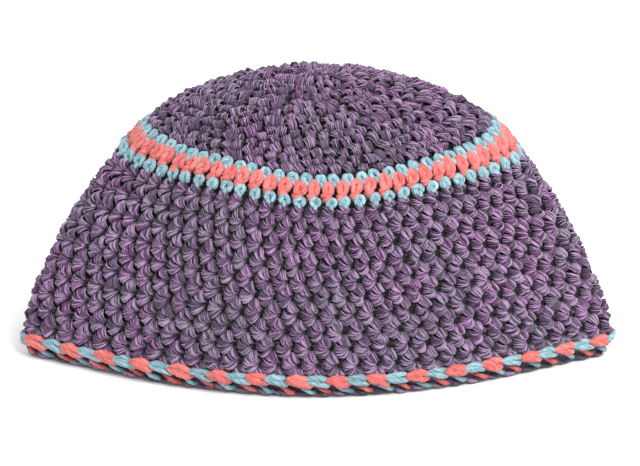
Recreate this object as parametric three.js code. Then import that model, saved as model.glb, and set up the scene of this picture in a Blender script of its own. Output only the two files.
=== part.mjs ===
// A crocheted cap worked in rounds from the crown down, standing on its rim.
// Millimetres, +Z up, front towards -Y, the broad way along X, origin under the middle of the rim.

import * as THREE from 'three';

// Driving sizes
const STITCHES = 64;          // stitches in a full round, and facets round every piece
const WALL = 5.2;             // thickness of the worked fabric
const RIB_RISE = 1.1;         // how far the middle of a round stands proud of its grooves
const SEAM = 0.025;           // clearance on each side of a seam, as a share of a round
const CREASE_STRETCH = 0.5;   // share of front-to-back travel that counts in spacing the stitches
const OUTLINE_STEPS = 720;    // steps used to measure along a round
const SLOPE_REACH = 0.05;     // rounds above and below over which a profile's slope is read

// Sections from the hub of the crown down to the foot of the rim. Each is a four-arc oval:
// wide and deep are half its size along X and Y, sideRadius rounds its two ends, dip is how far its
// front and back hang below those ends, pinch draws them in towards the ends, and lean carries it along X.
const SECTIONS = [
  { round: 0, height: 126.3, wide: 0.0, deep: 0.0, sideRadius: 0.0, dip: 0.0, pinch: 0.0, lean: -1.0 },
  { round: 2, height: 124.9, wide: 18.5, deep: 14.5, sideRadius: 11.0, dip: 0.6, pinch: 0.0, lean: -1.0 },
  { round: 4, height: 120.9, wide: 37.0, deep: 28.5, sideRadius: 19.5, dip: 1.8, pinch: 0.0, lean: -0.8 },
  { round: 6, height: 114.6, wide: 55.0, deep: 41.0, sideRadius: 23.5, dip: 3.2, pinch: 0.0, lean: 0.0 },
  { round: 8, height: 105.8, wide: 70.5, deep: 50.0, sideRadius: 24.0, dip: 4.4, pinch: 0.0, lean: 1.0 },
  { round: 9, height: 100.6, wide: 76.5, deep: 52.2, sideRadius: 23.5, dip: 4.2, pinch: 0.0, lean: 1.4 },
  { round: 10, height: 95.4, wide: 81.0, deep: 53.4, sideRadius: 22.5, dip: 3.8, pinch: 0.5, lean: 1.4 },
  { round: 11, height: 90.2, wide: 85.0, deep: 54.0, sideRadius: 21.5, dip: 3.4, pinch: 1.5, lean: 1.1 },
  { round: 14, height: 70.4, wide: 99.0, deep: 53.6, sideRadius: 18.5, dip: 2.2, pinch: 5.0, lean: 0.4 },
  { round: 18, height: 39.4, wide: 114.8, deep: 50.8, sideRadius: 15.0, dip: 0.8, pinch: 10.0, lean: 0.0 },
  { round: 21, height: 10.0, wide: 124.4, deep: 47.6, sideRadius: 12.5, dip: 0.0, pinch: 13.5, lean: 0.0 },
  { round: 22, height: 0.0, wide: 123.2, deep: 46.2, sideRadius: 12.0, dip: 0.0, pinch: 14.0, lean: 0.0 },
];

// Slow rises and dips of the rounds across the front, placed as shares of the half width
const SWELLS = [
  { at: -0.50, rise: 1.8, spread: 0.20 },
  { at: 0.05, rise: -1.6, spread: 0.28 },
  { at: 1.00, rise: -2.4, spread: 0.24 },
];
const SWELL_CENTRE = 10;      // the round where the swells are fullest
const FRONT_SHARPNESS = 6;    // how quickly a swell fades from the front to the back

// Yarns of the pieces
const MARL = { color: 0x5d4a66, roughness: 0.95, metalness: 0 };
const TEAL = { color: 0x8cc6cd, roughness: 0.92, metalness: 0 };
const CORAL = { color: 0xf2706a, roughness: 0.92, metalness: 0 };

// Bands of rounds, each a piece of its own: from and to are rounds counted from the hub
const PIECES = [
  { name: 'crown', from: 0, to: 8, yarn: MARL },
  { name: 'teal_round_upper', from: 8, to: 8.9, yarn: TEAL },
  { name: 'coral_round', from: 8.9, to: 9.8, yarn: CORAL },
  { name: 'teal_round_lower', from: 9.8, to: 10.75, yarn: TEAL },
  { name: 'side_wall', from: 10.75, to: 20.75, yarn: MARL },
  { name: 'rim_edging', from: 20.75, to: 22, yarn: CORAL },
];
const LAST_ROUND = SECTIONS.at(-1).round;
const FOOT_LEVELLING = 1;     // rounds above the foot over which the wall turns square to the floor

const COLUMNS = ['height', 'wide', 'deep', 'sideRadius', 'dip', 'pinch', 'lean'];
const sectionCurve = new THREE.CubicInterpolant(
  SECTIONS.map((section) => section.round),
  SECTIONS.flatMap((section) => COLUMNS.map((column) => section[column])),
  COLUMNS.length,
);

/** The section sizes at any round, whole or part. */
function sectionAt(round) {
  const sizes = sectionCurve.evaluate(round);
  return Object.fromEntries(COLUMNS.map((column, place) => [column, sizes[place]]));
}

/** Point of a section where its oval's outward direction stands at an angle to +X. */
function outline({ wide, deep, sideRadius, pinch }, angle) {
  const out = Math.abs(Math.cos(angle));
  const over = Math.abs(Math.sin(angle));
  const spread = wide ** 2 + deep ** 2 - 2 * wide * sideRadius;
  const frontRadius = spread / (2 * (deep - sideRadius) || 1);
  const turn = Math.atan2(frontRadius - deep, wide - sideRadius);
  const onSide = Math.atan2(over, out) <= turn;
  const x = onSide ? wide - sideRadius + sideRadius * out : frontRadius * out;
  const y = onSide ? sideRadius * over : frontRadius * over - (frontRadius - deep);
  const across = x / (wide || 1);
  const drawnIn = pinch * across ** 2 * Math.sqrt(Math.max(0, 1 - across ** 2));
  return { x: Math.sign(Math.cos(angle)) * x, y: Math.sign(Math.sin(angle)) * (y - drawnIn) };
}

/** Angles of the stitches of a round, spaced along it, with the creases a little stretched. */
function stitchAngles(section) {
  const travel = [0];
  let last = outline(section, 0);
  for (let step = 1; step <= OUTLINE_STEPS; step += 1) {
    const next = outline(section, (2 * Math.PI * step) / OUTLINE_STEPS);
    const length = Math.hypot(next.x - last.x, CREASE_STRETCH * (next.y - last.y));
    travel.push(travel.at(-1) + length);
    last = next;
  }
  const angles = [];
  let step = 0;
  for (let stitch = 0; stitch < STITCHES; stitch += 1) {
    const target = (travel.at(-1) * stitch) / STITCHES;
    while (travel[step + 1] < target) step += 1;
    const share = (target - travel[step]) / (travel[step + 1] - travel[step] || 1);
    angles.push((2 * Math.PI * (step + share)) / OUTLINE_STEPS);
  }
  return angles;
}

/** Outward directions of the side profile and the front profile at a round. */
function profileNormals(round) {
  const above = sectionAt(Math.max(round - SLOPE_REACH, 0));
  const below = sectionAt(Math.min(round + SLOPE_REACH, LAST_ROUND));
  const drop = above.height - below.height;
  const normal = (growth) => {
    const length = Math.hypot(drop, growth);
    return { out: drop / length, up: growth / length };
  };
  return {
    side: normal(below.wide - above.wide),
    front: normal(below.deep - above.deep),
  };
}

/** Height that the swells and the dip add at a place on a round, given as shares of its oval. */
function lift(round, { dip }, across, depth) {
  const fade = Math.min(round / SWELL_CENTRE, (LAST_ROUND - round) / (LAST_ROUND - SWELL_CENTRE));
  const front = 1 / (1 + Math.exp(FRONT_SHARPNESS * depth));
  let rise = 0;
  for (const { at, rise: peak, spread } of SWELLS) {
    rise += peak * Math.exp(-(((across - at) / spread) ** 2));
  }
  return rise * fade * front - dip * depth ** 2;
}

/** One ring of points at a round, set inward from the crests of the stitches. */
function ringPoints(round, inset) {
  const section = sectionAt(round);
  const { side, front } = profileNormals(round);
  const level = Math.min(1, (LAST_ROUND - round) / FOOT_LEVELLING);
  const inner = {
    wide: section.wide - inset * side.out,
    deep: section.deep - inset * front.out,
    sideRadius: section.sideRadius - inset * side.out,
    pinch: section.pinch,
  };
  return stitchAngles(section).map((angle) => {
    const { x, y } = outline(inner, angle);
    const across = x / (inner.wide || 1);
    const depth = y / (inner.deep || 1);
    const up = side.up + (front.up - side.up) * depth ** 2;
    return [section.lean + x, y, section.height + lift(round, section, across, depth) - inset * level * up];
  });
}

/** Rounds and insets of a band's closed profile: crests and grooves outside, smooth inside. */
function bandProfile({ from, to }) {
  const top = from === 0 ? 0 : from + SEAM;
  const foot = to === LAST_ROUND ? to : to - SEAM;
  const rows = Math.max(1, Math.round(to - from));
  const outside = [];
  for (let half = 0; half <= 2 * rows; half += 1) {
    const round = top + ((foot - top) * half) / (2 * rows);
    outside.push({ round, inset: half % 2 ? 0 : RIB_RISE });
  }
  const inside = outside.filter((_, half) => half % 2 === 0).map(({ round }) => ({ round, inset: WALL }));
  return [...outside, ...inside.reverse()];
}

/** Closed surface of a band. A band that starts at the hub closes on one point each side. */
function bandGeometry(piece) {
  const profile = bandProfile(piece);
  const positions = [];
  const rings = profile.map(({ round, inset }) => {
    const points = round === 0 ? ringPoints(0, inset).slice(0, 1) : ringPoints(round, inset);
    const first = positions.length / 3;
    positions.push(...points.flat());
    return { first, count: points.length };
  });
  const index = [];
  const vertex = ({ first, count }, stitch) => first + (count === 1 ? 0 : stitch % count);
  rings.forEach((ring, row) => {
    const next = rings[(row + 1) % rings.length];
    if (ring.count === 1 && next.count === 1) return;
    for (let stitch = 0; stitch < STITCHES; stitch += 1) {
      const corners = [vertex(ring, stitch), vertex(next, stitch)];
      const ahead = [vertex(ring, stitch + 1), vertex(next, stitch + 1)];
      if (next.count > 1) index.push(corners[0], corners[1], ahead[1]);
      if (ring.count > 1) index.push(corners[0], ahead[1], ahead[0]);
    }
  });
  const geometry = new THREE.BufferGeometry();
  geometry.setAttribute('position', new THREE.Float32BufferAttribute(positions, 3));
  geometry.setIndex(index);
  geometry.computeVertexNormals();
  return geometry;
}

const cap = new THREE.Group();
for (const piece of PIECES) {
  const band = new THREE.Mesh(bandGeometry(piece), new THREE.MeshStandardMaterial(piece.yarn));
  band.name = piece.name;
  cap.add(band);
}

export default cap;
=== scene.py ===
"""A crocheted cap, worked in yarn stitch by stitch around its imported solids.

Lengths are millimetres until a mesh is made, and meshes are in metres. A place on the cap has a round,
counted from the hub of the crown, a turn, the share of the way round from +X, and a rise, the distance out
from the crests of the stitches. A place in a stitch is across, in stitch widths to the right as seen from
outside, down, in rounds, and the same rise.
"""

import logging
import math
from dataclasses import dataclass, field, replace
from enum import Enum
from typing import Any, NamedTuple

import bpy
import numpy as np
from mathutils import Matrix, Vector


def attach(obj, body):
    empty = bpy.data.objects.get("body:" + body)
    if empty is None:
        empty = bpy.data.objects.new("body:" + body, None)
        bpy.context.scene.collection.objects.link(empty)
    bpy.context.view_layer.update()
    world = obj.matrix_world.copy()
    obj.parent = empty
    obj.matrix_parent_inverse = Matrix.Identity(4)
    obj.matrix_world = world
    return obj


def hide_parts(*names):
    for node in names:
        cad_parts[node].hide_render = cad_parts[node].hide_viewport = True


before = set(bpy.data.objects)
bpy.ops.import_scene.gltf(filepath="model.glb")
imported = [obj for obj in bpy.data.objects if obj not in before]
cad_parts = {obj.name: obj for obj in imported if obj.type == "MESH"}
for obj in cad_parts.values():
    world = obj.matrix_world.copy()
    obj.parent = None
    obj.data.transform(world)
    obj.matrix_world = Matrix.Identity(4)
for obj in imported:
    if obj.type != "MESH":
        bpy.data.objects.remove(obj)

Array = np.ndarray
METRES = 0.001
TINY = 1e-6
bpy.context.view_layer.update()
log = logging.getLogger("cap")


def linear(hex_colour: str) -> tuple[float, float, float, float]:
    """Turns an sRGB hex colour into linear red, green, blue and alpha.

    Args:
        hex_colour: Six hex digits after a hash sign.

    Returns:
        The linear colour, with alpha 1.
    """
    shares = [int(hex_colour[place:place + 2], 16) / 255 for place in (1, 3, 5)]
    lit = [share / 12.92 if share <= 0.04045 else ((share + 0.055) / 1.055) ** 2.4 for share in shares]
    return lit[0], lit[1], lit[2], 1.0


def add_node(tree: bpy.types.NodeTree, kind: str, settings: dict[str, Any], inputs: dict[Any, Any]) -> Any:
    """Adds a node to a tree with its settings made and its inputs filled.

    Args:
        tree: Tree that takes the node.
        kind: Blender's name for the node type.
        settings: Properties of the node by name.
        inputs: Values, or output sockets to link from, by input name or number.

    Returns:
        The new node.
    """
    node = tree.nodes.new(kind)
    for name, value in settings.items():
        setattr(node, name, value)
    for key, value in inputs.items():
        if isinstance(value, bpy.types.NodeSocket):
            tree.links.new(value, node.inputs[key])
        else:
            node.inputs[key].default_value = value
    return node


# Colour sockets of a mix node
MIX_FIRST, MIX_SECOND, MIX_RESULT = 6, 7, 2


class Section(NamedTuple):
    """One section of the cap: a four-arc oval at a round, its front and back hung by the dip.

    The pinch draws the front and back in towards the ends, and the lean carries the section along X.
    """

    round: float
    height: float
    half_width: float
    half_depth: float
    side_radius: float
    dip: float
    pinch: float
    lean: float


class Swell(NamedTuple):
    """A slow rise of the rounds across the front, placed as a share of the half width."""

    at: float
    rise: float
    spread: float


@dataclass
class CapForm:
    """The soft form that the rounds are worked over, as a map from round, turn and rise to a point.

    The swells are fullest at their centre round and fade away from it, and their sharpness is how quickly
    they end behind the front. The form is read from a grid, with its hub a share of a step out so that the
    grid has a direction there.
    """

    # Round, height, half width, half depth, side radius, dip, pinch and lean, hub first
    sections: tuple[Section, ...] = (
        Section(0, 126.3, 0.0, 0.0, 0.0, 0.0, 0.0, -1.0),
        Section(2, 124.9, 18.5, 14.5, 11.0, 0.6, 0.0, -1.0),
        Section(4, 120.9, 37.0, 28.5, 19.5, 1.8, 0.0, -0.8),
        Section(6, 114.6, 55.0, 41.0, 23.5, 3.2, 0.0, 0.0),
        Section(8, 105.8, 70.5, 50.0, 24.0, 4.4, 0.0, 1.0),
        Section(9, 100.6, 76.5, 52.2, 23.5, 4.2, 0.0, 1.4),
        Section(10, 95.4, 81.0, 53.4, 22.5, 3.8, 0.5, 1.4),
        Section(11, 90.2, 85.0, 54.0, 21.5, 3.4, 1.5, 1.1),
        Section(14, 70.4, 99.0, 53.6, 18.5, 2.2, 5.0, 0.4),
        Section(18, 39.4, 114.8, 50.8, 15.0, 0.8, 10.0, 0.0),
        Section(21, 10.0, 124.4, 47.6, 12.5, 0.0, 13.5, 0.0),
        Section(22, 0.0, 123.2, 46.2, 12.0, 0.0, 14.0, 0.0),
    )
    swells: tuple[Swell, ...] = (
        Swell(at=-0.50, rise=1.8, spread=0.20),
        Swell(at=0.05, rise=-1.6, spread=0.28),
        Swell(at=1.00, rise=-2.4, spread=0.24),
    )
    swell_centre: float = 10.0
    front_sharpness: float = 6.0
    crease_stretch: float = 0.75
    hub_share: float = 0.2
    round_steps: int = 12
    turn_steps: int = 512
    outline_steps: int = 1440
    points: Array = field(init=False)
    normals: Array = field(init=False)

    def __post_init__(self) -> None:
        """Lays the form out as a grid of points and outward normals."""
        last = self.sections[-1].round
        rounds = np.linspace(0.0, last, int(last) * self.round_steps + 1)
        rounds[0] = self.hub_share / self.round_steps
        sizes = self._sizes(rounds)
        angles = self._stitch_angles(sizes)
        x, y = self._outline(sizes, angles)
        across = x / sizes["half_width"][:, None]
        depth = y / sizes["half_depth"][:, None]
        z = sizes["height"][:, None] + self._lift(rounds[:, None], sizes["dip"][:, None], across, depth)
        self.points = np.stack([x + sizes["lean"][:, None], y, z], axis=-1)
        down = np.gradient(self.points, axis=0)
        around = np.roll(self.points, -1, axis=1) - np.roll(self.points, 1, axis=1)
        normals = np.cross(down, around)
        self.normals = normals / np.linalg.norm(normals, axis=-1, keepdims=True)

    def _sizes(self, rounds: Array) -> dict[str, Array]:
        """Reads the section sizes at any rounds from curves through the table.

        Args:
            rounds: Rounds counted from the hub.

        Returns:
            Arrays of each size, by the section's field name.
        """
        table = np.array(self.sections)
        knots = table[:, 0]
        place = np.clip(np.searchsorted(knots, rounds, side="right") - 1, 0, len(knots) - 2)
        span = np.diff(knots)[place]
        share = (rounds - knots[place]) / span
        sizes = {}
        for column, name in enumerate(Section._fields):
            values = table[:, column]
            secants = np.diff(values) / np.diff(knots)
            slopes = np.zeros_like(values)
            slopes[1:-1] = (secants[:-1] + secants[1:]) / 2
            start, end = values[place], values[place + 1]
            lead, tail = slopes[place] * span, slopes[place + 1] * span
            bend = 3 * (end - start) - 2 * lead - tail
            twist = 2 * (start - end) + lead + tail
            sizes[name] = start + share * (lead + share * (bend + share * twist))
        return sizes

    @staticmethod
    def _outline(sizes: dict[str, Array], angles: Array) -> tuple[Array, Array]:
        """Gives the points of sections where their ovals' outward directions stand at given angles.

        Args:
            sizes: Section sizes, one for each row of angles.
            angles: Angles from +X, in radians, a row for each section.

        Returns:
            The x and y of the points.
        """
        width, deep, side = (sizes[name][:, None] for name in ("half_width", "half_depth", "side_radius"))
        out, over = np.abs(np.cos(angles)), np.abs(np.sin(angles))
        front = (width ** 2 + deep ** 2 - 2 * width * side) / (2 * np.maximum(deep - side, TINY))
        turn = np.arctan2(front - deep, width - side)
        on_side = np.arctan2(over, out) <= turn
        x = np.where(on_side, width - side + side * out, front * out)
        y = np.where(on_side, side * over, front * over - (front - deep))
        across = np.minimum(x / np.maximum(width, TINY), 1.0)
        drawn_in = sizes["pinch"][:, None] * across ** 2 * np.sqrt(1 - across ** 2)
        return np.sign(np.cos(angles)) * x, np.sign(np.sin(angles)) * (y - drawn_in)

    def _stitch_angles(self, sizes: dict[str, Array]) -> Array:
        """Spaces the turns evenly along each section, with the side creases a little stretched.

        Args:
            sizes: Section sizes.

        Returns:
            An angle for each section and turn.
        """
        steps = np.linspace(0, 2 * np.pi, self.outline_steps + 1)
        x, y = self._outline(sizes, np.tile(steps, (len(sizes["round"]), 1)))
        lengths = np.hypot(np.diff(x, axis=1), self.crease_stretch * np.diff(y, axis=1))
        travel = np.concatenate([np.zeros((len(x), 1)), np.cumsum(lengths, axis=1)], axis=1)
        shares = np.arange(self.turn_steps) / self.turn_steps
        return np.array([np.interp(shares * way[-1], way, steps) for way in travel])

    def _lift(self, rounds: Array, dip: Array, across: Array, depth: Array) -> Array:
        """Gives the height that the swells and the dip add at places on the sections.

        Args:
            rounds: Rounds counted from the hub.
            dip: Hang of the front and back below the ends.
            across: Place along X as a share of the half width.
            depth: Place along Y as a share of the half depth.

        Returns:
            Heights to add.
        """
        last = self.sections[-1].round
        fade = np.minimum(rounds / self.swell_centre, (last - rounds) / (last - self.swell_centre))
        front = 1 / (1 + np.exp(self.front_sharpness * depth))
        rise = np.zeros_like(across)
        for swell in self.swells:
            rise = rise + swell.rise * np.exp(-(((across - swell.at) / swell.spread) ** 2))
        return rise * fade * front - dip * depth ** 2

    def place(self, rounds: Array, turns: Array, rises: Array) -> tuple[Array, Array]:
        """Maps places on the cap to points and outward normals.

        Args:
            rounds: Rounds counted from the hub.
            turns: Shares of the way round from +X.
            rises: Distances out from the crests.

        Returns:
            Points and unit normals, with a last axis of three.
        """
        row = np.clip(rounds * self.round_steps, 0, len(self.points) - 1 - TINY)
        column = (turns % 1.0) * self.turn_steps
        top, left = row.astype(int), column.astype(int) % self.turn_steps
        foot, right = top + 1, (left + 1) % self.turn_steps
        down, along = (row - top)[..., None], (column % 1.0)[..., None]

        def blend(grid: Array) -> Array:
            """Reads a grid between its four nearest entries.

            Args:
                grid: Points or normals of the form.

            Returns:
                The entry at each place.
            """
            upper = grid[top, left] * (1 - along) + grid[top, right] * along
            lower = grid[foot, left] * (1 - along) + grid[foot, right] * along
            return upper * (1 - down) + lower * down

        normals = blend(self.normals)
        normals /= np.linalg.norm(normals, axis=-1, keepdims=True)
        return blend(self.points) + normals * rises[..., None], normals

    def width(self, rounds: Array, turns: Array, stitches: int) -> Array:
        """Gives the width of a stitch at places on the cap.

        Args:
            rounds: Rounds counted from the hub.
            turns: Shares of the way round from +X.
            stitches: Number of stitches in the round.

        Returns:
            The width at each place.
        """
        step = 0.5 / stitches
        level = np.zeros_like(rounds)
        ahead, _ = self.place(rounds, turns + step, level)
        behind, _ = self.place(rounds, turns - step, level)
        return np.linalg.norm(ahead - behind, axis=-1)


class Yarn(Enum):
    """Yarns that the cap is worked in, by the slot of the pieces worked mostly in them."""

    MARL = "marl_yarn"
    TEAL = "teal_yarn"
    CORAL = "coral_yarn"


@dataclass(frozen=True)
class YarnFinish:
    """Plied worsted yarn, spun from soft staple and worked by hand.

    The eye gets a matt thread with a faint bloom at its edges, fine fibres that run along the plies, and
    dark lines where the plies meet, partly painted shading. The body drifts to the heather from cloud to
    cloud, and painted shading, a dark colour mixed in by depth, fills the hollows between the stitches.

    Fibre length, cloud and bump are millimetres, and the fibre count is for each ply. The fibres are drawn
    coarser than real ones, so that they show in the render. Contrast is the strength of the fibres, ply
    contrast sets one ply apart from the next, and the painted light on the plies lightens the back of each
    ply and leaves its flanks darker. Creases are the rises between which the painted shading fades out,
    and lining the rises between which it comes in from the inside.
    """

    name: str
    body: str
    heather: str
    painted_shade: str
    contrast: float
    ply_contrast: float
    creases: tuple[float, float]
    painted_ridge_light: float = 0.0
    painted_ridge_middle: float = 0.77
    lining: tuple[float, float] = (-5.0, -4.5)
    painted_shade_strength: float = 0.95
    fibre_length: float = 5.0
    fibre_count: float = 1.3
    fibre_detail: float = 2.0
    fibre_roughness: float = 0.7
    fibre_range: tuple[float, float] = (0.36, 0.64)
    strand_offset: tuple[float, float, float] = (91.0, 57.0, 23.0)
    brightening: float = 1.15
    bloom_from: float = 0.45
    bloom_base: float = 1.05
    bloom_loss: float = 0.9
    cloud: float = 30.0
    cloud_detail: float = 2.0
    cloud_range: tuple[float, float] = (0.52, 0.98)
    strand_drift: float = 0.5
    bump: float = 0.25
    bump_strength: float = 0.7
    roughness: float = 0.88
    specular: float = 0.3
    sheen: float = 0.25
    sheen_roughness: float = 0.45

    def material(self) -> bpy.types.Material:
        """Makes the yarn's material.

        Returns:
            The material.
        """
        material = bpy.data.materials.new(self.name)
        material.use_nodes = True
        tree = material.node_tree
        tree.nodes.clear()
        yarn = add_node(tree, "ShaderNodeAttribute", {"attribute_name": "yarn"}, {}).outputs["Vector"]
        tone = add_node(tree, "ShaderNodeAttribute", {"attribute_name": "tone"}, {}).outputs["Fac"]
        rise = add_node(tree, "ShaderNodeAttribute", {"attribute_name": "rise"}, {}).outputs["Fac"]
        fibre = self._fibre(tree, yarn, tone)
        fibred_with_painted_light = self._fibre_with_painted_light(tree, self._drift(tree, tone), self._streak_with_painted_light(tree, yarn, tone, fibre))
        bump = add_node(tree, "ShaderNodeBump", {},
                        {"Strength": self.bump_strength, "Distance": self.bump * METRES, "Height": fibre})
        shader = add_node(tree, "ShaderNodeBsdfPrincipled", {},
                          {"Base Color": self._paint_crease_shading(tree, fibred_with_painted_light, rise), "Roughness": self.roughness,
                           "Sheen Weight": self.sheen, "Sheen Roughness": self.sheen_roughness,
                           "Specular IOR Level": self.specular, "Normal": bump.outputs[0]})
        add_node(tree, "ShaderNodeOutputMaterial", {}, {"Surface": shader.outputs[0]})
        return material

    def _fibre(self, tree: bpy.types.NodeTree, yarn: Any, tone: Any) -> Any:
        """Draws fibres out along the plies, apart from strand to strand.

        Args:
            tree: Tree of the material.
            yarn: Socket of the place along and around a ply.
            tone: Socket of the strand's own number.

        Returns:
            Socket of the fibres, about 0.5 on the whole.
        """
        spread = (1 / self.fibre_length, self.fibre_count, self.fibre_count)
        drawn = add_node(tree, "ShaderNodeVectorMath", {"operation": "MULTIPLY"}, {0: yarn, 1: spread})
        apart = add_node(tree, "ShaderNodeVectorMath", {"operation": "MULTIPLY_ADD"},
                         {0: tone, 1: self.strand_offset, 2: drawn.outputs[0]})
        fibre = add_node(tree, "ShaderNodeTexNoise", {},
                         {"Vector": apart.outputs[0], "Scale": 1.0, "Detail": self.fibre_detail,
                          "Roughness": self.fibre_roughness})
        return fibre.outputs["Fac"]

    def _drift(self, tree: bpy.types.NodeTree, tone: Any) -> Any:
        """Drifts the colour between the body and the heather, cloud by cloud and strand by strand.

        Args:
            tree: Tree of the material.
            tone: Socket of the strand's own number.

        Returns:
            Socket of the colour.
        """
        place = add_node(tree, "ShaderNodeTexCoord", {}, {})
        cloud = add_node(tree, "ShaderNodeTexNoise", {},
                         {"Vector": place.outputs["Object"], "Scale": 1 / (self.cloud * METRES),
                          "Detail": self.cloud_detail})
        drift = add_node(tree, "ShaderNodeMath", {"operation": "MULTIPLY_ADD"},
                         {0: tone, 1: self.strand_drift, 2: cloud.outputs["Fac"]})
        marl = add_node(tree, "ShaderNodeMapRange", {},
                        {"Value": drift.outputs[0], "From Min": self.cloud_range[0],
                         "From Max": self.cloud_range[1]})
        colour = add_node(tree, "ShaderNodeMix", {"data_type": "RGBA"},
                          {"Factor": marl.outputs[0], MIX_FIRST: linear(self.body),
                           MIX_SECOND: linear(self.heather)})
        return colour.outputs[MIX_RESULT]

    def _streak_with_painted_light(self, tree: bpy.types.NodeTree, yarn: Any, tone: Any, fibre: Any) -> Any:
        """Joins the fibres, the plies' own lightness and the painted light on their backs, which leaves the
        flanks darker.

        Args:
            tree: Tree of the material.
            yarn: Socket of the place along and around a ply.
            tone: Socket of the strand's own number.
            fibre: Socket of the fibres.

        Returns:
            Socket of the streaks with their painted light, about 0.5 on the whole.
        """
        flick = add_node(tree, "ShaderNodeTexWhiteNoise", {"noise_dimensions": "1D"}, {"W": tone})
        strand = add_node(tree, "ShaderNodeMath", {"operation": "MULTIPLY_ADD"},
                          {0: flick.outputs["Value"], 1: self.ply_contrast, 2: fibre})
        # Painted light: the back of each ply is drawn lighter and its flanks darker
        around = add_node(tree, "ShaderNodeSeparateXYZ", {}, {0: yarn})
        back = add_node(tree, "ShaderNodeMath", {"operation": "ABSOLUTE"}, {0: around.outputs["Y"]})
        painted_ridge_lit = add_node(tree, "ShaderNodeMath", {"operation": "MULTIPLY_ADD"},
                          {0: back.outputs[0], 1: self.painted_ridge_light, 2: strand.outputs[0]})
        middle = self.ply_contrast / 2 + self.painted_ridge_middle * self.painted_ridge_light
        streak = add_node(tree, "ShaderNodeMath", {"operation": "SUBTRACT"},
                          {0: painted_ridge_lit.outputs[0], 1: middle})
        return streak.outputs[0]

    def _fibre_with_painted_light(self, tree: bpy.types.NodeTree, colour: Any, streak: Any) -> Any:
        """Lightens and darkens the colour by the streaks and their painted light, the lightest a little
        paler.

        Args:
            tree: Tree of the material.
            colour: Socket of the colour.
            streak: Socket of the streaks with their painted light.

        Returns:
            Socket of the streaked colour.
        """
        darkest, lightest = self.fibre_range
        value = add_node(tree, "ShaderNodeMapRange", {},
                         {"Value": streak, "From Min": darkest, "From Max": lightest,
                          "To Min": 1 - self.contrast, "To Max": 1 + self.brightening * self.contrast})
        bloom = add_node(tree, "ShaderNodeMapRange", {},
                         {"Value": streak, "From Min": self.bloom_from, "From Max": lightest,
                          "To Min": self.bloom_base,
                          "To Max": self.bloom_base - self.bloom_loss * self.contrast ** 2})
        fibred_with_painted_light = add_node(tree, "ShaderNodeHueSaturation", {},
                          {"Value": value.outputs[0], "Saturation": bloom.outputs[0], "Color": colour})
        return fibred_with_painted_light.outputs[0]

    def _paint_crease_shading(self, tree: bpy.types.NodeTree, colour: Any, rise: Any) -> Any:
        """Paints shading into the hollows between the stitches, and leaves the inside of the cap as it is.

        Args:
            tree: Tree of the material.
            colour: Socket of the colour.
            rise: Socket of the distance out from the crests.

        Returns:
            Socket of the colour with its painted shading.
        """
        # Painted shading: more of the dark colour the deeper the rise, let go again on the inside of the cap
        deep = add_node(tree, "ShaderNodeMapRange", {},
                        {"Value": rise, "From Min": self.creases[0], "From Max": self.creases[1],
                         "To Min": self.painted_shade_strength, "To Max": 0.0})
        outer = add_node(tree, "ShaderNodeMapRange", {},
                         {"Value": rise, "From Min": self.lining[0], "From Max": self.lining[1],
                          "To Min": 0.0, "To Max": 1.0})
        crease = add_node(tree, "ShaderNodeMath", {"operation": "MULTIPLY"},
                          {0: deep.outputs[0], 1: outer.outputs[0]})
        shaded = add_node(tree, "ShaderNodeMix", {"data_type": "RGBA"},
                          {"Factor": crease.outputs[0], MIX_FIRST: colour, MIX_SECOND: linear(self.painted_shade)})
        return shaded.outputs[MIX_RESULT]


# Each finish's darkest colour is painted shading for the hollows between stitches, and the marl also paints
# light on the backs of its plies
FINISHES = {
    # Two shades spun loosely together: each ply shows, and purple drifts to grey from strand to strand
    Yarn.MARL: YarnFinish(name="purple_marl_worsted_yarn", body="#814f84", heather="#6c5e79",
                          painted_shade="#120d15", contrast=0.68, ply_contrast=0.6, creases=(-4.2, -1.9), painted_ridge_light=0.5,
                          fibre_length=3.0, fibre_count=0.8),
    # Dyed in one colour and spun round: smooth strands with a fine grain along them
    Yarn.TEAL: YarnFinish(name="teal_worsted_yarn", body="#7ea0a8", heather="#7898a2", painted_shade="#3f6470",
                          contrast=0.42, ply_contrast=0.1, creases=(-3.2, -1.2), fibre_count=2.4),
    # The same yarn in a warm dye, with a softer grain
    Yarn.CORAL: YarnFinish(name="coral_worsted_yarn", body="#c96e6a", heather="#c86662", painted_shade="#862c2b",
                           contrast=0.30, ply_contrast=0.1, creases=(-3.2, -1.2), fibre_count=2.4),
}


PLY_SIDES = 4


class Way(NamedTuple):
    """A place that yarn passes in its stitch."""

    across: float
    down: float
    rise: float


@dataclass(frozen=True)
class Strand:
    """Yarn in a stitch: one round strand, or plies spread evenly from one edge of it to the other.

    The radius of the strand, or of each ply, is a share of the stitch's width, and the tip is a share of
    that. The rounding lifts the middle plies.
    """

    edge: tuple[Way, ...]
    other: tuple[Way, ...] = ()
    plies: int = 1
    radius: float = 0.049
    rounding: float = 0.35
    tip: float = 0.72
    sides: int = PLY_SIDES

    def routes(self) -> Array:
        """Lays the plies side by side, the middle ones a little higher.

        Returns:
            The ways of each ply, shaped plies by ways by three.
        """
        share = (np.arange(self.plies) + 0.5) / self.plies
        blend = share[:, None, None]
        ways = np.array(self.edge) * (1 - blend) + np.array(self.other or self.edge) * blend
        ways[..., 2] += self.rounding * (1 - (2 * share[:, None] - 1) ** 2) * (self.plies > 1)
        return ways

    def steps(self) -> int:
        """Gives the number of points along each ply, more on a thick round strand."""
        return len(self.edge) + 1 if self.sides == PLY_SIDES else 2 * len(self.edge)


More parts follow.
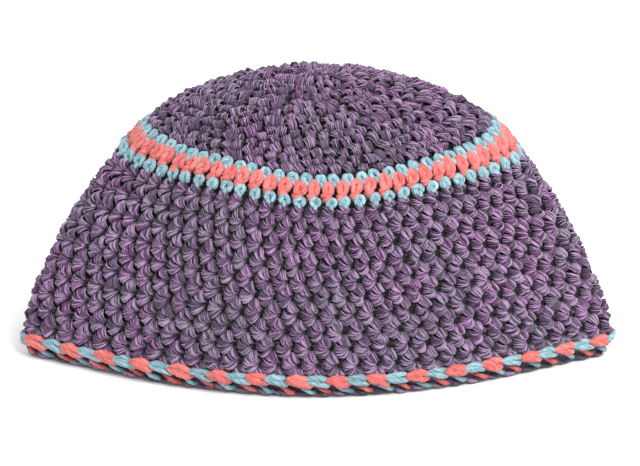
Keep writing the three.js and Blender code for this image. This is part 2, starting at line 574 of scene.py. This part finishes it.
def fitted(strands: tuple[Strand, ...], across: float = 1.0, size: float = 1.0,
           sink: float = 0.0) -> tuple[Strand, ...]:
    """Fits the strands of a stitch to another place.

    Args:
        strands: Strands of the stitch.
        across: Scale of their ways across.
        size: Scale of their radius.
        sink: How much deeper they lie.

    Returns:
        The fitted strands.
    """
    def moved(ways: tuple[Way, ...]) -> tuple[Way, ...]:
        """Moves the ways of one edge."""
        return tuple(Way(way.across * across, way.down, max(way.rise - sink, HOLLOW)) for way in ways)

    return tuple(replace(strand, edge=moved(strand.edge), other=moved(strand.other),
                         radius=strand.radius * size) for strand in strands)


# Rises of the places that yarn passes, from the crest of a round to the inside of the cap
# The deeper rises take more painted shading in the yarn materials, which lets go again at the inside
CREST = -1.1
ROUND = -1.5
SHOULDER = -1.8
LOW = -2.6
HEART = -2.7
TUCKED = -2.9
SUNK = -3.5
BURIED = -4.2
HOLLOW = -4.9
INSIDE = -5.1

# Rises of the two faces of the web; the outer face takes nearly full painted shading, the inner none
WEB_OUTER = -4.3
WEB_INNER = -5.2

# Wall stitch: four fans of plies drawn into one hollow, over two thick hearts
HANGING_STITCH = (
    Strand(edge=(Way(-0.12, -0.14, TUCKED), Way(-0.01, 0.09, CREST), Way(0.11, 0.33, CREST),
                 Way(0.23, 0.57, HOLLOW)),
           other=(Way(0.12, -0.18, TUCKED), Way(0.23, 0.04, CREST), Way(0.30, 0.28, SHOULDER),
                  Way(0.32, 0.55, HOLLOW)), plies=4),
    Strand(edge=(Way(-0.18, -0.12, TUCKED), Way(-0.08, 0.12, CREST), Way(0.05, 0.37, CREST),
                 Way(0.21, 0.58, HOLLOW)),
           other=(Way(-0.42, 0.06, TUCKED), Way(-0.28, 0.20, CREST), Way(-0.06, 0.41, CREST),
                  Way(0.18, 0.60, HOLLOW)), plies=4),
    Strand(edge=(Way(0.17, 0.60, HOLLOW), Way(-0.08, 0.46, CREST), Way(-0.29, 0.32, CREST),
                 Way(-0.46, 0.20, TUCKED)),
           other=(Way(0.15, 0.64, HOLLOW), Way(-0.10, 0.69, CREST), Way(-0.35, 0.73, CREST),
                  Way(-0.57, 0.78, TUCKED)), plies=4),
    Strand(edge=(Way(0.15, 0.65, HOLLOW), Way(-0.08, 0.74, CREST), Way(-0.33, 0.85, CREST),
                 Way(-0.55, 0.97, TUCKED)),
           other=(Way(0.23, 0.73, HOLLOW), Way(0.13, 0.91, CREST), Way(-0.04, 1.07, CREST),
                  Way(-0.22, 1.22, TUCKED)), plies=4),
    Strand(edge=(Way(-0.12, -0.10, BURIED), Way(-0.06, 0.14, HEART), Way(0.08, 0.36, HEART),
                 Way(0.20, 0.56, HOLLOW)), radius=0.185),
    Strand(edge=(Way(0.16, 0.64, HOLLOW), Way(-0.08, 0.71, HEART), Way(-0.30, 0.78, HEART),
                 Way(-0.50, 0.86, BURIED)), radius=0.185),
)

# Crown stitch: two fans of plies, the second below and to the right, each over a thick heart
CROWN_STITCH = (
    Strand(edge=(Way(-0.41, -0.02, TUCKED), Way(-0.40, 0.15, CREST), Way(-0.35, 0.35, CREST),
                 Way(-0.27, 0.53, BURIED)),
           other=(Way(0.41, -0.02, TUCKED), Way(0.40, 0.15, CREST), Way(0.35, 0.35, CREST),
                  Way(0.27, 0.53, BURIED)), plies=9, radius=0.060, rounding=0.7),
    Strand(edge=(Way(0.01, 0.47, TUCKED), Way(0.02, 0.66, ROUND), Way(0.07, 0.85, ROUND),
                 Way(0.15, 1.03, BURIED)),
           other=(Way(0.83, 0.47, TUCKED), Way(0.82, 0.66, ROUND), Way(0.77, 0.85, ROUND),
                  Way(0.69, 1.03, BURIED)), plies=9, radius=0.060, rounding=0.7),
    Strand(edge=(Way(-0.38, 0.25, BURIED), Way(-0.12, 0.25, HEART), Way(0.12, 0.25, HEART),
                 Way(0.38, 0.25, BURIED)), radius=0.15),
    Strand(edge=(Way(0.04, 0.75, BURIED), Way(0.30, 0.75, HEART), Way(0.54, 0.75, HEART),
                 Way(0.80, 0.75, BURIED)), radius=0.15),
)

# Stripe's tall stitch: two thick legs and a heart, with three strands that slant off below them
TALL_STITCH = (
    Strand(edge=(Way(-0.10, 0.06, LOW), Way(0.12, 0.04, ROUND), Way(0.24, 0.20, ROUND),
                 Way(0.20, 0.42, ROUND), Way(0.06, 0.60, LOW)), radius=0.23, sides=8),
    Strand(edge=(Way(0.10, 0.04, LOW), Way(-0.13, 0.05, ROUND), Way(-0.22, 0.22, ROUND),
                 Way(-0.24, 0.44, ROUND), Way(-0.22, 0.62, LOW)), radius=0.23, sides=8),
    Strand(edge=(Way(-0.02, 0.08, BURIED), Way(0.00, 0.25, LOW), Way(-0.03, 0.45, LOW),
                 Way(-0.08, 0.66, BURIED)), radius=0.21, sides=6),
    Strand(edge=(Way(0.22, 0.48, LOW), Way(-0.02, 0.58, ROUND), Way(-0.26, 0.65, ROUND),
                 Way(-0.48, 0.72, LOW)), radius=0.18, sides=8),
    Strand(edge=(Way(0.14, 0.64, LOW), Way(-0.06, 0.73, ROUND), Way(-0.28, 0.81, SHOULDER),
                 Way(-0.46, 0.88, BURIED)), radius=0.18, sides=8),
    Strand(edge=(Way(0.08, 0.73, LOW), Way(-0.08, 0.82, SHOULDER), Way(-0.24, 0.89, TUCKED),
                 Way(-0.38, 0.95, BURIED)), radius=0.17, sides=8),
)

# Stripe's low stitch: two thick legs that close round a heart, with a tail below them
KNOT_STITCH = (
    Strand(edge=(Way(0.10, 0.16, LOW), Way(-0.08, 0.10, ROUND), Way(-0.22, 0.26, ROUND),
                 Way(-0.23, 0.52, ROUND), Way(-0.10, 0.76, LOW)), radius=0.19, sides=8),
    Strand(edge=(Way(-0.06, 0.14, LOW), Way(0.12, 0.10, ROUND), Way(0.24, 0.28, ROUND),
                 Way(0.25, 0.56, ROUND), Way(0.14, 0.80, LOW)), radius=0.18, sides=8),
    Strand(edge=(Way(-0.10, 0.62, LOW), Way(0.02, 0.77, ROUND), Way(0.06, 0.95, SHOULDER),
                 Way(0.04, 1.15, BURIED)), radius=0.16, sides=8),
    Strand(edge=(Way(-0.10, 0.10, BURIED), Way(0.00, 0.30, LOW), Way(0.00, 0.55, LOW),
                 Way(0.05, 0.85, BURIED)), radius=0.18, sides=6),
)

# Inside of every stitch: one bar across and one bar down
INNER_BAR = (
    Strand(edge=(Way(-0.58, 0.62, BURIED), Way(-0.24, 0.50, INSIDE), Way(0.24, 0.50, INSIDE),
                 Way(0.58, 0.40, BURIED)), radius=0.155),
    Strand(edge=(Way(-0.10, 0.05, BURIED), Way(-0.05, 0.35, INSIDE), Way(0.05, 0.65, INSIDE),
                 Way(0.10, 0.95, BURIED)), radius=0.13),
)


@dataclass
class YarnMesh:
    """Strands of yarn and the web behind them, gathered into one mesh.

    Round strands twist once in the twist pitch. Spread and flatten scale a strand's width and height. The
    web has so many columns around and rows to a round. Its fibres run along so many cords to a round, each
    as long as the web length, lit about a middle with a swing and all of one tone.
    """

    form: CapForm
    twist_pitch: float = 14.0
    spread: float = 1.08
    flatten: float = 0.94
    web_columns: int = 128
    web_rows: int = 3
    web_length: float = 400.0
    web_cords: int = 2
    web_light: tuple[float, float] = (0.6, 0.3)
    web_tone: float = 0.5
    vertices: list[Array] = field(default_factory=list)
    yarns: list[Array] = field(default_factory=list)
    tones: list[Array] = field(default_factory=list)
    rises: list[Array] = field(default_factory=list)
    loops: list[Array] = field(default_factory=list)
    totals: list[Array] = field(default_factory=list)
    slots: list[Array] = field(default_factory=list)
    count: int = 0

    def _keep(self, points: Array, yarn: Array, tone: Array, rise: Array) -> int:
        """Adds vertices with their attributes.

        Args:
            points: Places of the vertices.
            yarn: Place along and around its ply for each vertex.
            tone: Number of its strand for each vertex.
            rise: Distance out from the crests for each vertex.

        Returns:
            The number of the first vertex.
        """
        first = self.count
        self.vertices.append(points.reshape(-1, 3))
        self.yarns.append(yarn.reshape(-1, 3))
        self.tones.append(tone.ravel())
        self.rises.append(rise.ravel())
        self.count += len(self.vertices[-1])
        return first

    def _face(self, corners: Array, slot: int) -> None:
        """Adds faces.

        Args:
            corners: Numbers of the vertices, a row for each face.
            slot: Material slot of the faces.
        """
        self.loops.append(corners.ravel())
        self.totals.append(np.full(len(corners), corners.shape[1]))
        self.slots.append(np.full(len(corners), slot))

    def sweep(self, places: Array, radii: Array, tones: Array, sides: int, slot: int) -> None:
        """Sweeps plies or round strands along routes. Only round strands twist.

        Args:
            places: Rounds, turns and rises along each route, shaped routes by steps by three.
            radii: Radius of the strand at each step of each route.
            tones: A number between 0 and 1 for each route, which varies its fibres.
            sides: Sides of the swept section.
            slot: Material slot of the faces.
        """
        routes, steps, _ = places.shape
        points, normals = self.form.place(places[..., 0], places[..., 1], places[..., 2])
        ahead = np.gradient(points, axis=1)
        ahead /= np.linalg.norm(ahead, axis=-1, keepdims=True)
        lengths = np.linalg.norm(np.diff(points, axis=1), axis=-1)
        along = np.concatenate([np.zeros((routes, 1)), np.cumsum(lengths, axis=1)], axis=1)
        # The upright of the section is carried along the route, so that the section does not roll
        up = np.empty_like(points)
        carried = normals[:, steps // 2]
        for step in range(steps):
            carried = carried - np.sum(carried * ahead[:, step], axis=-1, keepdims=True) * ahead[:, step]
            carried = carried / np.linalg.norm(carried, axis=-1, keepdims=True)
            up[:, step] = carried
        beside = np.cross(ahead, up)
        ply = 2 * np.pi * np.arange(sides) / sides
        spin = 2 * np.pi * (along / self.twist_pitch + tones[:, None])[..., None] * (sides > PLY_SIDES)
        turned = ply + spin
        reach = radii[..., None]
        ring = (points[:, :, None]
                + (reach * np.cos(turned) * self.flatten)[..., None] * up[:, :, None]
                + (reach * np.sin(turned) * self.spread)[..., None] * beside[:, :, None])
        shape = ring.shape[:3]
        yarn = np.stack([np.broadcast_to(along[..., None], shape), np.broadcast_to(np.cos(ply), shape),
                         np.broadcast_to(np.sin(ply), shape)], axis=-1)
        outward = np.sum((ring - points[:, :, None]) * normals[:, :, None], axis=-1)
        rise = places[..., 2][..., None] + outward
        first = self._keep(ring, yarn, np.broadcast_to(tones[:, None, None], shape), rise)
        number = first + np.arange(routes * steps * sides).reshape(shape)
        after = np.roll(number, -1, axis=2)
        quads = np.stack([number[:, :-1], after[:, :-1], after[:, 1:], number[:, 1:]], axis=-1)
        self._face(quads.reshape(-1, 4), slot)
        self._face(number[:, 0, ::-1], slot)
        self._face(number[:, -1], slot)

    def web(self, start: float, end: float, outer: float, inner: float, slot: int) -> None:
        """Adds the web of yarn behind the stitches, a thin closed band.

        Args:
            start: Round at the top edge.
            end: Round at the foot.
            outer: Rise of its outer face.
            inner: Rise of its inner face.
            slot: Material slot of the faces.
        """
        across, rows = self.web_columns, max(2, int(round((end - start) * self.web_rows)))
        rounds = np.concatenate([np.linspace(start, end, rows + 1), np.linspace(end, start, rows + 1)])
        rises = np.repeat([outer, inner], rows + 1)
        turns = np.arange(across) / across
        grid = np.meshgrid(rounds, turns, indexing="ij")
        level = np.broadcast_to(rises[:, None], grid[0].shape)
        points, _ = self.form.place(grid[0], grid[1], level)
        angle = 2 * np.pi * grid[0] * self.web_cords
        light = self.web_light[0] + self.web_light[1] * np.cos(angle)
        yarn = np.stack([grid[1] * self.web_length, light, np.sin(angle)], axis=-1)
        first = self._keep(points, yarn, np.full(grid[0].shape, self.web_tone), level)
        number = first + np.arange(points.shape[0] * across).reshape(-1, across)
        below, beside = np.roll(number, -1, axis=0), np.roll(number, -1, axis=1)
        corner = np.roll(below, -1, axis=1)
        self._face(np.stack([number, below, corner, beside], axis=-1).reshape(-1, 4), slot)

    def build(self, name: str, node: str, slot: str, yarns: tuple[Yarn, ...],
              materials: dict[Yarn, bpy.types.Material]) -> Any:
        """Makes the gathered mesh into a piece that stands for a solid.

        Args:
            name: Name of the piece.
            node: Node of the solid.
            slot: Slot of the piece's finish, not used.
            yarns: Yarns of its material slots, in order.
            materials: Material of each yarn.

        Returns:
            The new piece.
        """
        mesh = bpy.data.meshes.new(name)
        loops, totals = np.concatenate(self.loops), np.concatenate(self.totals)
        mesh.vertices.add(self.count)
        mesh.vertices.foreach_set("co", (np.concatenate(self.vertices) * METRES).astype(np.float32).ravel())
        mesh.loops.add(len(loops))
        mesh.loops.foreach_set("vertex_index", loops.astype(np.int32))
        mesh.polygons.add(len(totals))
        mesh.polygons.foreach_set("loop_start", (np.cumsum(totals) - totals).astype(np.int32))
        mesh.polygons.foreach_set("material_index", np.concatenate(self.slots).astype(np.int32))
        mesh.polygons.foreach_set("use_smooth", np.ones(len(totals), bool))
        mesh.update(calc_edges=True)
        yarn = mesh.attributes.new("yarn", "FLOAT_VECTOR", "POINT")
        yarn.data.foreach_set("vector", np.concatenate(self.yarns).astype(np.float32).ravel())
        # The rise also sets how much painted shading the yarn materials lay on each vertex
        for label, values in (("tone", self.tones), ("rise", self.rises)):
            attribute = mesh.attributes.new(label, "FLOAT", "POINT")
            attribute.data.foreach_set("value", np.concatenate(values).astype(np.float32))
        for worn in yarns:
            mesh.materials.append(materials[worn])
        piece = bpy.data.objects.new(name, mesh)
        bpy.context.scene.collection.objects.link(piece)
        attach(piece, "root")
        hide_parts(node)
        return piece


def spline_weights(knots: int, steps: int) -> Array:
    """Gives the share of each knot in evenly spaced points of a smooth curve through them.

    Args:
        knots: Number of places the curve passes.
        steps: Number of points along it.

    Returns:
        A row of shares for each point.
    """
    weights = np.zeros((steps, knots))
    for row, at in enumerate(np.linspace(0, knots - 1, steps)):
        left = min(int(at), knots - 2)
        part = at - left
        square, cube = part * part, part ** 3
        shares = ((-cube + 2 * square - part) / 2, (3 * cube - 5 * square + 2) / 2,
                  (-3 * cube + 4 * square + part) / 2, (cube - square) / 2)
        for offset, share in zip((-1, 0, 1, 2), shares):
            knot = left + offset
            if knot < 0:
                weights[row, 0] += 2 * share
                weights[row, 1] -= share
            elif knot >= knots:
                weights[row, -1] += 2 * share
                weights[row, -2] -= share
            else:
                weights[row, knot] += share
    return weights


@dataclass
class Hand:
    """The maker's hand: how unevenly the stitches come out, and how thick the yarn lies.

    The yarn's thickness follows the width of its stitch, kept between the two stitch widths. Slack is the
    spread of the ways, in stitch widths and rounds. Stitch slack, depth slack and ply slack are multiples of
    it, for each whole stitch across, down and out, for the rise, and for single plies. Thickness slack is
    the spread of the thickness, and a higher taper keeps the yarn thick nearer to its tips. Drawn is how far
    the stitches lean at the front and back, in radians, and how much less they lean at +X and more at -X.
    Sway is the spread of that lean, and aspect the height of a round over the width of a stitch, for turning
    the ways.
    """

    seed: int
    stitch_widths: tuple[float, float] = (5.4, 8.4)
    slack: float = 0.027
    stitch_slack: tuple[float, float, float] = (1.2, 0.8, 0.0)
    depth_slack: float = 8.0
    ply_slack: float = 0.5
    thickness_slack: float = 0.08
    taper: int = 4
    sway: float = 0.0
    drawn: tuple[float, float] = (0.0, 0.0)
    aspect: float = 1.5
    rng: np.random.Generator = field(init=False)

    def __post_init__(self) -> None:
        """Starts the seeded draws."""
        self.rng = np.random.default_rng(self.seed)

    def work(self, mesh: YarnMesh, pattern: tuple[Strand, ...], start: float, tall: float, stitches: int,
             shift: float, slot: int) -> None:
        """Works one round of stitches into a mesh.

        Args:
            mesh: Mesh that takes the strands.
            pattern: Strands of the stitch.
            start: Round where the stitches begin.
            tall: Height of the stitches in rounds.
            stitches: Number of stitches in the round.
            shift: How far the first stitch stands on from +X, in stitches.
            slot: Material slot of the strands.
        """
        centres = np.arange(stitches) + shift + 0.5
        level = np.full(stitches, start + tall / 2)
        widths = np.clip(mesh.form.width(level, centres / stitches, stitches), *self.stitch_widths)
        lean = self.rng.normal(0, self.slack, (stitches, 1, 1)) * np.array(self.stitch_slack)
        slack = self.slack * np.array([1.0, 1.0, self.depth_slack])
        turn = self.drawn[0] - self.drawn[1] * np.cos(2 * np.pi * centres / stitches)
        turn = (turn + self.rng.normal(0, self.sway, stitches))[:, None]
        for strand in pattern:
            knots, steps = len(strand.edge), strand.steps()
            weights = spline_weights(knots, steps)
            taper = 1 - (1 - strand.tip) * np.abs(np.linspace(-1, 1, steps)) ** self.taper
            loose = self.rng.normal(0, 1, (stitches, knots, 3)) * slack
            routes = strand.routes()
            middle = routes.mean(axis=(0, 1))
            for ply in routes:
                stray = self.rng.normal(0, self.ply_slack, (stitches, knots, 3)) * slack
                placed = ply + lean + loose + stray
                curve = np.einsum("sk,nkc->nsc", weights, placed)
                # The lean turns each strand about its own middle
                across, down = curve[..., 0] - middle[0], (curve[..., 1] - middle[1]) * self.aspect
                beside = middle[0] + across * np.cos(turn) + down * np.sin(turn)
                below = middle[1] + (down * np.cos(turn) - across * np.sin(turn)) / self.aspect
                turns = (centres[:, None] + beside) / stitches
                places = np.stack([start + tall * below, turns, curve[..., 2]], axis=-1)
                thick = strand.radius * widths * (1 + self.rng.normal(0, self.thickness_slack, stitches))
                mesh.sweep(places, thick[:, None] * taper, self.rng.random(stitches), strand.sides, slot)


@dataclass
class Band:
    """Rounds of one stitch between two rounds of the cap, worked as a piece.

    The laps are how far its stitches reach past the first and the last round. Begin is how far the first
    stitch stands on from +X, in stitches. Each round is shifted on from the one above it and has growth more
    stitches, up to the number of the last round. The web stops a seam short of its neighbours' webs.
    """

    name: str
    node: str
    yarn: Yarn
    pattern: tuple[Strand, ...]
    first: float
    last: float
    rounds: int
    laps: tuple[float, float] = (0.0, 0.0)
    shift: float = 0.35
    begin: float = 0.0
    growth: int = 0
    stitches: int = 64
    slack: float = 0.027
    sway: float = 0.0
    drawn: tuple[float, float] = (0.0, 0.0)
    seam: float = 0.008

    def build(self, form: CapForm, materials: dict[Yarn, bpy.types.Material], seed: int) -> Any:
        """Works the band's rounds and its web.

        Args:
            form: Form of the cap.
            materials: Material of each yarn.
            seed: Seed of the maker's hand.

        Returns:
            The new piece.
        """
        mesh, hand = YarnMesh(form), Hand(seed, slack=self.slack, sway=self.sway, drawn=self.drawn)
        yarns = (self.yarn,) if self.yarn is Yarn.MARL else (self.yarn, Yarn.MARL)
        own, marl = yarns.index(self.yarn), yarns.index(Yarn.MARL)
        top, foot = self.first - self.laps[0], self.last + self.laps[1]
        step = (foot - top) / self.rounds
        for number in range(self.rounds):
            start = top + step * number
            count = self.stitches - self.growth * (self.rounds - 1 - number)
            shift = self.begin + self.shift * number
            hand.work(mesh, self.pattern, start, step, count, shift, own)
            hand.work(mesh, INNER_BAR, start, step, count, shift, own)
        mesh.web(self.first + self.seam, self.last - self.seam, WEB_OUTER, WEB_INNER, marl)
        return mesh.build(self.name, self.node, self.yarn.value, yarns, materials)


BANDS = (
    Band(name="crown_top", node="crown", yarn=Yarn.MARL, pattern=CROWN_STITCH,
         first=0.15, last=4.6, rounds=4, growth=9, stitches=37, shift=0.25, slack=0.06, sway=0.22,
         drawn=(0.42, 0.25)),
    Band(name="crown_side", node="crown", yarn=Yarn.MARL, pattern=CROWN_STITCH,
         first=4.6, last=8.0, rounds=3, growth=9, stitches=64, shift=0.25, slack=0.06, sway=0.22,
         drawn=(0.42, 0.25)),
    Band(name="teal_round_upper_stitches", node="teal_round_upper", yarn=Yarn.TEAL,
         pattern=KNOT_STITCH, first=8.0, last=8.9, rounds=1, begin=0.5),
    Band(name="coral_round_stitches", node="coral_round", yarn=Yarn.CORAL,
         pattern=TALL_STITCH, first=8.9, last=9.8, rounds=1, laps=(0.35, 0.4)),
    Band(name="teal_round_lower_stitches", node="teal_round_lower", yarn=Yarn.TEAL,
         pattern=fitted(KNOT_STITCH, across=0.92, size=0.92, sink=-0.3),
         first=9.8, last=10.75, rounds=1, begin=0.1),
    Band(name="side_wall_top", node="side_wall", yarn=Yarn.MARL, pattern=HANGING_STITCH,
         first=10.75, last=15.4, rounds=4, laps=(0.15, 0.0), begin=0.1),
    Band(name="side_wall_middle", node="side_wall", yarn=Yarn.MARL,
         pattern=HANGING_STITCH, first=15.4, last=18.35, rounds=3, begin=0.5),
    Band(name="side_wall_foot", node="side_wall", yarn=Yarn.MARL, pattern=HANGING_STITCH,
         first=18.35, last=20.75, rounds=3, begin=0.55),
)


# Link of the rim's chain: three strands that part from one tip
LINK = (
    Strand(edge=(Way(-0.60, 0.43, ROUND), Way(-0.25, 0.34, ROUND), Way(0.12, 0.33, ROUND),
                 Way(0.42, 0.40, SHOULDER), Way(0.60, 0.48, BURIED)), radius=0.165, tip=0.4, sides=8),
    Strand(edge=(Way(-0.60, 0.44, ROUND), Way(-0.25, 0.50, ROUND), Way(0.08, 0.56, ROUND),
                 Way(0.38, 0.61, SHOULDER), Way(0.56, 0.64, LOW), Way(0.70, 0.67, BURIED)),
           radius=0.19, tip=0.4, sides=8),
    Strand(edge=(Way(-0.58, 0.44, ROUND), Way(-0.20, 0.43, ROUND), Way(0.12, 0.45, ROUND),
                 Way(0.36, 0.50, TUCKED)), radius=0.14, tip=0.4, sides=8),
)

# Strands that lie loose below the links and along the foot
UNDER_FLOAT = (
    Strand(edge=(Way(-0.55, 0.70, BURIED), Way(-0.26, 0.79, LOW), Way(0.10, 0.91, LOW),
                 Way(0.40, 1.02, BURIED)), radius=0.13, sides=6),
)
FOOT_FLOAT = (
    Strand(edge=(Way(-0.60, 0.92, BURIED), Way(-0.25, 1.01, SUNK), Way(0.10, 1.06, SUNK),
                 Way(0.40, 1.08, BURIED)), radius=0.12, sides=6),
)


@dataclass
class RimEdging:
    """Chain edge of the rim: links of two yarns in turn over a marl foot, with their floats below.

    The links and floats of one yarn take half the round's stitches, so their ways across are halved.
    """

    name: str = "rim_edging_chain"
    node: str = "rim_edging"
    slot: str = "edging_yarn"
    first: float = 20.62
    tall: float = 1.05
    stitches: int = 64
    slack: float = 0.02
    link_scale: float = 0.5
    link_lift: float = 0.4
    coral_size: float = 1.04
    teal_size: float = 0.82
    teal_shift: float = 0.5
    float_shift: float = -0.25
    foot_shifts: tuple[float, float] = (0.1, 0.6)
    backing_first: float = 20.72
    backing_tall: float = 0.58
    backing_shift: float = 0.6
    backing_sink: float = 0.9
    web_first: float = 20.8
    web_last: float = 21.95
    web_outer: float = -4.0

    def build(self, form: CapForm, materials: dict[Yarn, bpy.types.Material], seed: int) -> Any:
        """Works the chain, its floats and the marl behind them.

        Args:
            form: Form of the cap.
            materials: Material of each yarn.
            seed: Seed of the maker's hand.

        Returns:
            The new piece.
        """
        mesh, hand = YarnMesh(form), Hand(seed, slack=self.slack)
        yarns = (Yarn.CORAL, Yarn.TEAL, Yarn.MARL)
        coral, teal, marl = range(len(yarns))
        half = self.stitches // 2
        below = fitted(UNDER_FLOAT, self.link_scale)
        for slot, shift, size in ((coral, 0.0, self.coral_size), (teal, self.teal_shift, self.teal_size)):
            link = fitted(LINK, self.link_scale, size, sink=-self.link_lift)
            hand.work(mesh, link, self.first, self.tall, half, shift, slot)
            hand.work(mesh, below, self.first, self.tall, half, shift + self.float_shift, slot)
        backing = fitted(HANGING_STITCH, sink=self.backing_sink)
        hand.work(mesh, backing, self.backing_first, self.backing_tall, self.stitches,
                  self.backing_shift, marl)
        for shift in self.foot_shifts:
            hand.work(mesh, fitted(FOOT_FLOAT, self.link_scale), self.first, self.tall, half, shift, marl)
        hand.work(mesh, INNER_BAR, self.first, self.tall, self.stitches, 0.0, marl)
        mesh.web(self.web_first, self.web_last, self.web_outer, WEB_INNER, marl)
        return mesh.build(self.name, self.node, self.slot, yarns, materials)


@dataclass
class Studio:
    """Pale floor, soft studio light and the camera at the photograph's angle.

    The key lamp's power is in watts.
    """

    target: tuple[float, float, float] = (1.03, 0.0, 55.0)
    distance: float = 1400.0
    elevation: float = 22.0
    lens: float = 190.7
    sensor: float = 36.0
    floor_half: float = 4000.0
    floor_paint: str = "#f7f7f7"
    floor_roughness: float = 0.95
    sky: str = "#ffffff"
    key_place: tuple[float, float, float] = (550.0, -900.0, 1200.0)
    key_size: float = 700.0
    key_power: float = 25.0

    def floor(self) -> None:
        """Lays the floor, a matt painted board that gives a clean white ground."""
        half = self.floor_half * METRES
        corners = [(-half, -half, 0.0), (half, -half, 0.0), (half, half, 0.0), (-half, half, 0.0)]
        mesh = bpy.data.meshes.new("floor")
        mesh.from_pydata(corners, [], [(0, 1, 2, 3)])
        material = bpy.data.materials.new("white_matt_paint")
        material.use_nodes = True
        shader = material.node_tree.nodes["Principled BSDF"]
        shader.inputs["Base Color"].default_value = linear(self.floor_paint)
        shader.inputs["Roughness"].default_value = self.floor_roughness
        mesh.materials.append(material)
        floor = bpy.data.objects.new("floor", mesh)
        bpy.context.scene.collection.objects.link(floor)

    def lamp(self, name: str, place: tuple[float, float, float], size: float, power: float) -> None:
        """Hangs a soft square lamp that faces the cap.

        Args:
            name: Name of the lamp.
            place: Where it hangs.
            size: Side of the square.
            power: Power in watts.
        """
        data = bpy.data.lights.new(name, "AREA")
        data.size = size * METRES
        data.energy = power
        lamp = bpy.data.objects.new(name, data)
        lamp.location = Vector(place) * METRES
        aim = Vector(self.target) * METRES - lamp.location
        lamp.rotation_euler = aim.to_track_quat("-Z", "Y").to_euler()
        bpy.context.scene.collection.objects.link(lamp)

    def light(self) -> None:
        """Lights the room softly from all round, with a key lamp above the front."""
        world = bpy.data.worlds.new("studio")
        world.use_nodes = True
        sky = world.node_tree.nodes["Background"]
        sky.inputs["Color"].default_value = linear(self.sky)
        sky.inputs["Strength"].default_value = 1.0
        bpy.context.scene.world = world
        self.lamp("key", self.key_place, self.key_size, self.key_power)
        bpy.context.scene.view_settings.view_transform = "Standard"

    def camera(self) -> None:
        """Stands the camera before the cap, looking along +Y and down."""
        data = bpy.data.cameras.new("camera")
        data.sensor_fit = "HORIZONTAL"
        data.sensor_width = self.sensor
        data.lens = self.lens
        tilt = math.radians(self.elevation)
        back = Vector((0.0, -math.cos(tilt), math.sin(tilt))) * self.distance
        camera = bpy.data.objects.new("camera", data)
        camera.location = (Vector(self.target) + back) * METRES
        camera.rotation_euler = (math.pi / 2 - tilt, 0.0, 0.0)
        bpy.context.scene.collection.objects.link(camera)
        bpy.context.scene.camera = camera


def main() -> None:
    """Builds the cap band by band, then the studio around it."""
    logging.basicConfig(level=logging.INFO, format="%(name)s: %(message)s")
    form = CapForm()
    materials = {yarn: finish.material() for yarn, finish in FINISHES.items()}
    for seed, worked in enumerate((*BANDS, RimEdging())):
        piece = worked.build(form, materials, seed)
        log.info("%s: %d triangles", piece.name, len(piece.data.loops) - 2 * len(piece.data.polygons))
    studio = Studio()
    studio.floor()
    studio.light()
    studio.camera()


if __name__ == "__main__":
    main()
